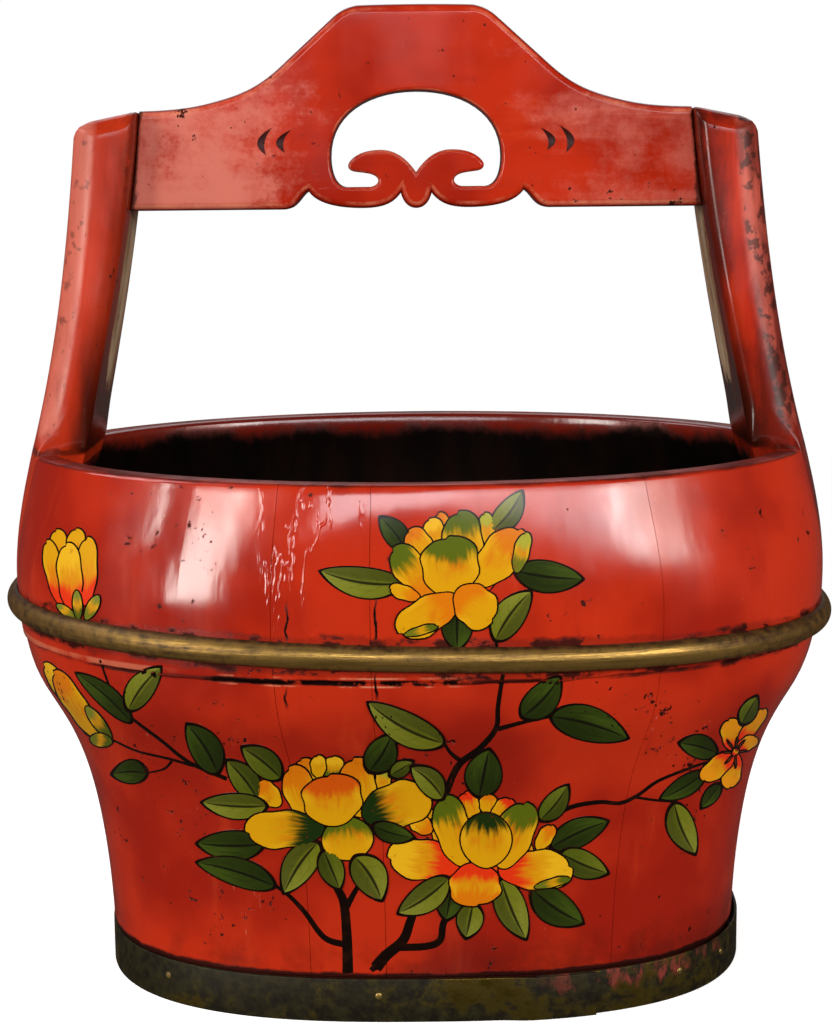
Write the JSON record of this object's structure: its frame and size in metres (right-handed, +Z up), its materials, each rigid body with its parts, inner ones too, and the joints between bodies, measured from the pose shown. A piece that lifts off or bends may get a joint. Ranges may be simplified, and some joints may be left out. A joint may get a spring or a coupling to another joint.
{
  "type": "wooden food bucket",
  "caption": "Oval staved wooden food bucket with tall end posts, a carved carrying bar, a belly hoop and a foot band.",
  "frame": {"origin": "middle of the foot, on the ground", "axes": "+X along the length, to the right seen from the painted front; +Y to the back; +Z up"},
  "size_m": [0.381, 0.292, 0.4353],
  "materials": {
    "red_lacquer": "glossy worn vermilion lacquer with a painted flower-and-branch ornament",
    "hoop_bronze": "aged, rubbed brighter in front, dark at the ends",
    "band_bronze": "dark, mottled green and gold",
    "nail_brass": "dull",
    "bare_fir": "bare, darkened with age",
    "bamboo": "bare"
  },
  "bodies": {
    "root": {"stave_01": "red_lacquer", "stave_02": "red_lacquer", "stave_03": "red_lacquer", "stave_04": "red_lacquer", "stave_05": "red_lacquer", "stave_06": "red_lacquer", "stave_07": "red_lacquer", "stave_08": "red_lacquer", "stave_09": "red_lacquer", "stave_10": "red_lacquer", "stave_11": "red_lacquer", "stave_12": "red_lacquer", "stave_13": "red_lacquer", "stave_14": "red_lacquer", "stave_15": "red_lacquer", "stave_16": "red_lacquer", "stave_17": "red_lacquer", "stave_18": "red_lacquer", "stave_19": "red_lacquer", "stave_20": "red_lacquer", "stave_21": "red_lacquer", "stave_22": "red_lacquer", "post_right": "red_lacquer", "post_left": "red_lacquer", "crossbar": "red_lacquer", "belly_hoop": "hoop_bronze", "foot_band": "band_bronze", "foot_nail_1": "nail_brass", "foot_nail_2": "nail_brass", "foot_nail_3": "nail_brass", "foot_nail_4": "nail_brass", "foot_nail_5": "nail_brass", "foot_nail_6": "nail_brass", "foot_nail_7": "nail_brass", "foot_nail_8": "nail_brass", "bottom_board_1": "bare_fir", "bottom_board_2": "bare_fir", "bottom_board_3": "bare_fir", "bottom_board_4": "bare_fir", "bottom_peg_1": "bamboo", "bottom_peg_2": "bamboo", "bottom_peg_3": "bamboo", "bottom_peg_4": "bamboo", "bottom_peg_5": "bamboo", "bottom_peg_6": "bamboo"}
  },
  "joints": []
}
